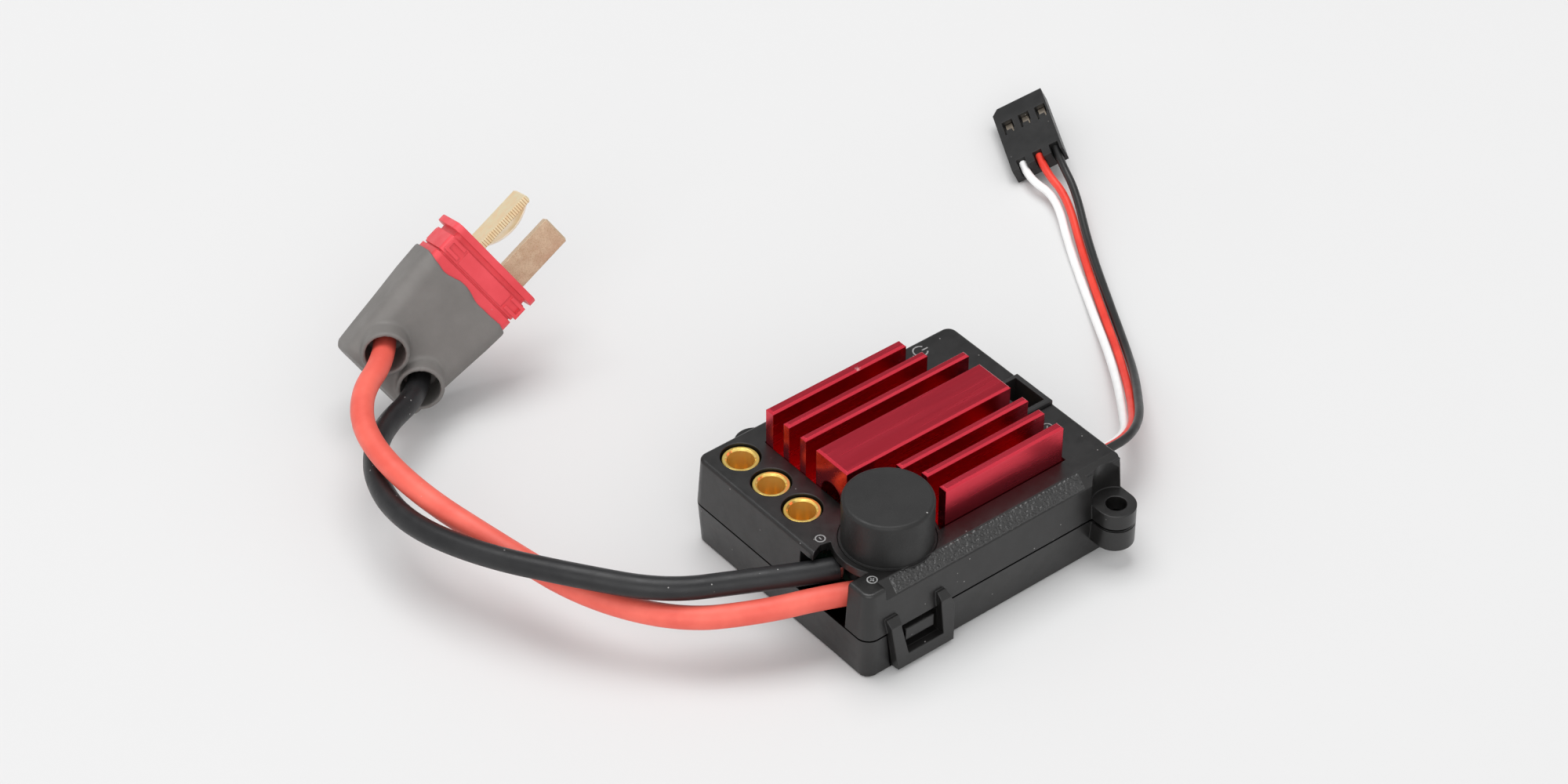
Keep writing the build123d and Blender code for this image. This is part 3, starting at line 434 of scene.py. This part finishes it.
def solid(rings):
    """A closed mesh through rings of points, capped at both ends."""
    work = bmesh.new()
    rows = [[work.verts.new(point) for point in ring] for ring in rings]
    count = len(rows[0])
    for first, second in zip(rows, rows[1:]):
        for i in range(count):
            j = (i + 1) % count
            work.faces.new((first[i], first[j], second[j], second[i]))
    work.faces.new(rows[0][::-1])
    work.faces.new(rows[-1])
    bmesh.ops.recalc_face_normals(work, faces=work.faces)
    mesh = bpy.data.meshes.new("solid")
    work.to_mesh(mesh)
    work.free()
    return mesh


def plug_point(w, length, n):
    """A place given across the plug, along it and out of its broad face."""
    return PLUG_ORIGIN + PLUG_AXES @ mm(w, length, n)


def rounded_ring(half_w, half_n, corner):
    """Points of a rounded rectangle, as (w, n), starting on the right side."""
    points = []
    for centre_w, centre_n, start in (
        (half_w - corner, half_n - corner, 0), (corner - half_w, half_n - corner, 90),
        (corner - half_w, corner - half_n, 180), (half_w - corner, corner - half_n, 270),
    ):
        for i in range(CORNER_STEPS + 1):
            angle = math.radians(start + 90 * i / CORNER_STEPS)
            points.append((centre_w + corner * math.cos(angle), centre_n + corner * math.sin(angle)))
    return points


def divided(points, parts):
    """The same rounded rectangle with its four straight sides divided."""
    found = []
    for i, first in enumerate(points):
        found.append(Vector(first))
        if (i + 1) % (CORNER_STEPS + 1) == 0:
            second = Vector(points[(i + 1) % len(points)])
            found += [Vector(first).lerp(second, k / parts) for k in range(1, parts)]
    return found


def modified(mesh, steps):
    """The mesh after a list of modifiers, each (kind, settings)."""
    carrier = bpy.data.objects.new("carrier", mesh)
    scene.collection.objects.link(carrier)
    for kind, settings in steps:
        modifier = carrier.modifiers.new(kind, kind)
        for key, value in settings.items():
            setattr(modifier, key, value)
    bpy.context.view_layer.update()
    evaluated = carrier.evaluated_get(bpy.context.evaluated_depsgraph_get())
    shape = bpy.data.meshes.new_from_object(evaluated)
    bpy.data.objects.remove(carrier)
    return shape


def cutter(mesh):
    """A temporary object for the Boolean cuts."""
    made = bpy.data.objects.new("cutter", mesh)
    scene.collection.objects.link(made)
    return made


# ---------------------------------------------------------------- the plug's soft boot
COLLAR_SPLAY = math.radians(24)
COLLAR_DIR = Vector((0, -math.sin(COLLAR_SPLAY), math.cos(COLLAR_SPLAY)))
COLLAR_SIDE = Vector((1, 0, 0))
COLLAR_TOP = COLLAR_DIR.cross(COLLAR_SIDE)
COLLAR_CENTRE = (3.4, -18.9, 5.2)       # across, along and out of the plug; the other is its mirror
COLLAR_RADIUS = 3.15
COLLAR_BORE = 2.6
TUBE_STEPS = 40
BOOT_CORNER = 2.0
WAVE_HEIGHT, WAVE_CREST, WAVE_LENGTH = 0.42, -1.85, 6.5
BOOT_PROFILE = (                        # place along the plug, half width, half thickness
    (-5.0, 7.95, 3.72), (-9, 7.75, 3.72), (-14, 7.3, 3.66),
    (-18, 7.0, 3.6), (-21.2, 6.75, 3.5), (-21.95, 6.3, 3.0),
)


def wavy(w):
    """How far the boot's front edge sits behind its highest point."""
    return WAVE_HEIGHT * (math.cos(2 * math.pi * (w - WAVE_CREST) / WAVE_LENGTH) - 1)


def tube_rings(side, radius, levels):
    """Circles around one collar's axis, at levels measured from its mouth."""
    rings = []
    for level in levels:
        centre = Vector((side * COLLAR_CENTRE[0], *COLLAR_CENTRE[1:])) + COLLAR_DIR * level
        ring = []
        for i in range(TUBE_STEPS):
            angle = 2 * math.pi * i / TUBE_STEPS
            offset = COLLAR_SIDE * math.cos(angle) * radius + COLLAR_TOP * math.sin(angle) * radius
            ring.append(plug_point(*(centre + offset)))
        rings.append(ring)
    return rings


def boot_rings():
    """The boot's outside from its wavy front edge to its rear end."""
    rings = []
    for index, (length, half_w, half_n) in enumerate(BOOT_PROFILE):
        outline = divided(rounded_ring(half_w, half_n, BOOT_CORNER), 24)
        wave = 1.0 if index == 0 else 0.0
        rings.append([plug_point(w, length + wave * wavy(w) - 0.05, n) for w, n in outline])
    return rings


def softened(voxel, rounds):
    """Modifiers that join the shapes in a mesh and round off their edges."""
    return [
        ("REMESH", {"mode": "VOXEL", "voxel_size": voxel * MM}),
        ("SMOOTH", {"factor": 0.5, "iterations": rounds}),
    ]


boot_cutters = [cutter(solid(tube_rings(side, COLLAR_BORE, (0.5, -5.4)))) for side in (-1, 1)]
throat = [[plug_point(w, length, n) for w, n in rounded_ring(6.55, 2.9, 1.0)] for length in (-4.0, -10.9)]
boot_cutters.append(cutter(solid(throat)))
collars = [solid(tube_rings(side, COLLAR_RADIUS, (-0.05, -5.0))) for side in (-1, 1)]
boot_parts = bmesh.new()
for shape in [solid(boot_rings()), *collars]:
    boot_parts.from_mesh(shape)
boot_mesh = bpy.data.meshes.new("boot")
boot_parts.to_mesh(boot_mesh)
boot_parts.free()
boot_mesh = modified(boot_mesh, softened(0.2, 6))
boot_mesh = modified(
    boot_mesh, [("BOOLEAN", {"operation": "DIFFERENCE", "object": tool}) for tool in boot_cutters],
)
boot_mesh = modified(boot_mesh, softened(0.16, 3))
for tool in boot_cutters:
    bpy.data.objects.remove(tool)
boot = piece("plug_boot_skin", boot_mesh, "boot_grey", smooth=True)
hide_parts("plug_boot")
PLUG_PIECES.append(boot)

cord("battery_wire_red", RED_POINTS, BATTERY_WIRE, "silicone_red", "power_wire_red")
cord("battery_wire_black", BLACK_POINTS, BATTERY_WIRE, "silicone_black", "power_wire_black")
cord("lead_wire_white", WHITE_LEAD_POINTS, LEAD_WIRE, "lead_white", "servo_wire_white")
cord("lead_wire_red", RED_LEAD_POINTS, LEAD_WIRE, "lead_red", "servo_wire_red")
cord("lead_wire_black", BLACK_LEAD_POINTS, LEAD_WIRE, "lead_black", "servo_wire_black")

# ---------------------------------------------------------------- textured band on the bevel
BAND_X = (-16.2, 14.2)
BAND_TOP = Vector((-15.05, 13.40))      # y and z of the bevel's upper edge
BAND_FOOT = Vector((-16.70, 11.75))
BAND_STEP = 0.05
BAND_SUNK = 0.03                        # how deep the band's edges lie under the bevel


def leather(along, across):
    """Height in millimetres of a fine leather grain: short uneven ridges close together."""
    ridge = 1 - 2.6 * abs(noise.noise(Vector((along * 2.1, across * 2.9, 0.0))))
    cross = 1 - 2.6 * abs(noise.noise(Vector((along * 3.1, across * 2.3, 7.0))))
    fine = noise.noise(Vector((along * 6, across * 6, 3.0)))
    return 0.12 * max(0.0, ridge) ** 1.4 + 0.06 * max(0.0, cross) + 0.02 * fine


def band_mesh():
    """The grained strip on the bevel, sunk into the case along a slightly uneven outline."""
    slope = BAND_FOOT - BAND_TOP
    outward = Vector((slope.y, -slope.x)).normalized()
    columns = round((BAND_X[1] - BAND_X[0]) / BAND_STEP)
    rows = round(slope.length / BAND_STEP)
    work = bmesh.new()
    grid = []
    for i in range(columns + 1):
        line = []
        for j in range(rows + 1):
            x = BAND_X[0] + i * BAND_STEP
            across = j / rows
            margin = 0.1 + 0.1 * noise.noise(Vector((x * 2, across, 9)))
            edge = min(across, 1 - across) * slope.length - margin
            edge = min(edge, min(i, columns - i) * BAND_STEP * 0.6)
            raised = 0.015 + leather(x, across * slope.length)
            lift = min(1.0, max(0.0, edge / 0.15)) * raised - BAND_SUNK
            y, z = BAND_TOP + slope * across + outward * lift
            line.append(work.verts.new(mm(x, y, z)))
        grid.append(line)
    for first, second in zip(grid, grid[1:]):
        for j in range(rows):
            work.faces.new((first[j], first[j + 1], second[j + 1], second[j]))
    bmesh.ops.recalc_face_normals(work, faces=work.faces)
    mesh = bpy.data.meshes.new("band")
    work.to_mesh(mesh)
    work.free()
    return mesh


grained = case_nylon("grained_nylon", (0.2, 0.3, 900), 0.9)
piece("bevel_texture", band_mesh(), "black_plastic", smooth=True, material=grained)

# ---------------------------------------------------------------- printed marks
TOP_Z = 13.4
PRINT = 0.02
PRINT_FOOT = -0.01
ARC_STEPS = 48
POWER_MARK = (14.2, 14.87)
PORT_MARK = (16.93, -6.39)
MINUS_MARK = (-18.2, -4.7)
PLUS_MARK = (-18.0, -14.25)


def arc_strip(centre, radius, width, start, end):
    """A thin printed arc lying on the top plate."""
    rings = []
    middle = Vector((*centre, TOP_Z))
    for i in range(ARC_STEPS + 1):
        angle = math.radians(start + (end - start) * i / ARC_STEPS)
        radial = Vector((math.cos(angle), math.sin(angle), 0))
        inner = middle + radial * (radius - width / 2)
        outer = middle + radial * (radius + width / 2)
        lift = Vector((0, 0, PRINT))
        drop = Vector((0, 0, PRINT_FOOT))
        rings.append([inner + drop, outer + drop, outer + lift, inner + lift])
    return rings


def bar(centre, size, angle):
    """A thin printed bar lying on the top plate."""
    turned = math.radians(angle)
    along = Vector((math.cos(turned), math.sin(turned), 0)) * size[0] / 2
    across = Vector((-along.y, along.x, 0)).normalized() * size[1] / 2
    base = Vector((*centre, TOP_Z))
    return [
        [base + end + side + Vector((0, 0, level)) for side, level in
         ((-across, PRINT_FOOT), (across, PRINT_FOOT), (across, PRINT), (-across, PRINT))]
        for end in (-along, along)
    ]


prints = Surface("print_grey", (0.5, 0.62, 700)).tones((0.2, 0.2, 0.2), (0.36, 0.36, 0.36), 2600)
print_grey = prints.relief(prints.noise(6000), 0.01).done()


def printed(name, strips):
    """One printed mark, made of its strips."""
    work = bmesh.new()
    for rings in strips:
        work.from_mesh(solid([[point * MM for point in ring] for ring in rings]))
    mesh = bpy.data.meshes.new(name)
    work.to_mesh(mesh)
    work.free()
    return piece(name, mesh, "lead_white", material=print_grey)


printed("mark_power", [
    arc_strip(POWER_MARK, 0.95, 0.2, 35, 325),
    bar((POWER_MARK[0] + 0.75, POWER_MARK[1]), (0.95, 0.2), 0),
])
printed("mark_port", [arc_strip(PORT_MARK, 0.7, 0.14, 0, 360), bar(PORT_MARK, (0.6, 0.14), 45)])
printed("mark_minus", [arc_strip(MINUS_MARK, 0.6, 0.17, 0, 360), bar(MINUS_MARK, (0.5, 0.16), 90)])
printed("mark_plus", [
    arc_strip(PLUS_MARK, 0.6, 0.17, 0, 360),
    bar(PLUS_MARK, (0.66, 0.16), 0),
    bar(PLUS_MARK, (0.66, 0.16), 90),
])

# ---------------------------------------------------------------- studio
floor_shape = bmesh.new()
bmesh.ops.create_grid(floor_shape, x_segments=1, y_segments=1, size=3.0)
floor_mesh = bpy.data.meshes.new("floor")
floor_shape.to_mesh(floor_mesh)
floor_shape.free()
floor = bpy.data.objects.new("floor", floor_mesh)
floor.location.z = -0.02 * MM            # just clear of the case's underside
scene.collection.objects.link(floor)
paper = Surface("paper", (0.75, 0.85, 60), specular=0.15)
paper.tones((0.70, 0.70, 0.70), (0.706, 0.706, 0.706), 12)
floor_mesh.materials.append(paper.relief(paper.noise(900), 0.01).done())


def area_light(name, place, aim, size, power):
    light = bpy.data.lights.new(name, "AREA")
    light.shape = "RECTANGLE"
    light.size, light.size_y = size
    light.energy = power
    made = bpy.data.objects.new(name, light)
    made.location = place
    made.rotation_euler = (Vector(aim) - Vector(place)).to_track_quat("-Z", "Y").to_euler()
    scene.collection.objects.link(made)


# A soft box overhead, a wide one in front, and a bright room with a dimmer stretch behind the object
area_light("key", (0.05, 0.30, 1.30), (0, 0.03, 0), (1.0, 0.8), 9.5)
area_light("front_fill", (-0.95, -0.95, 0.75), (0, 0.02, 0), (1.6, 1.1), 8)
SKY_STRENGTH = 0.8
SKY_DARK = (0.36, 0.36, 0.37, 1)
SKY_DARK_SIDE = (0.627, 0.779, 0)
world = bpy.data.worlds.new("studio")
world.use_nodes = True
sky = world.node_tree


def sky_node(kind, **settings):
    made = sky.nodes.new(kind)
    for key, value in settings.items():
        setattr(made, key, value)
    return made


def sky_range(source, low, high):
    made = sky_node("ShaderNodeMapRange", interpolation_type="SMOOTHSTEP")
    made.inputs["From Min"].default_value = low
    made.inputs["From Max"].default_value = high
    sky.links.new(source, made.inputs["Value"])
    return made.outputs["Result"]


place = sky_node("ShaderNodeTexCoord").outputs["Generated"]
split = sky_node("ShaderNodeSeparateXYZ")
behind = sky_node("ShaderNodeVectorMath", operation="DOT_PRODUCT")
behind.inputs[1].default_value = SKY_DARK_SIDE
low = sky_node("ShaderNodeMath", operation="MULTIPLY")
dark = sky_node("ShaderNodeMath", operation="MULTIPLY")
shade = sky_node("ShaderNodeMix", data_type="RGBA")
shade.inputs["A"].default_value = (1, 1, 1, 1)
shade.inputs["B"].default_value = SKY_DARK
sky.links.new(place, split.inputs["Vector"])
sky.links.new(place, behind.inputs[0])
sky.links.new(sky_range(behind.outputs["Value"], 0.0, 0.5), dark.inputs[0])
sky.links.new(sky_range(split.outputs["Z"], 0.97, 0.70), low.inputs[0])
sky.links.new(sky_range(split.outputs["Z"], 0.10, 0.38), low.inputs[1])
sky.links.new(low.outputs["Value"], dark.inputs[1])
sky.links.new(dark.outputs["Value"], shade.inputs["Factor"])
sky.links.new(shade.outputs["Result"], sky.nodes["Background"].inputs["Color"])
sky.nodes["Background"].inputs["Strength"].default_value = SKY_STRENGTH
scene.world = world
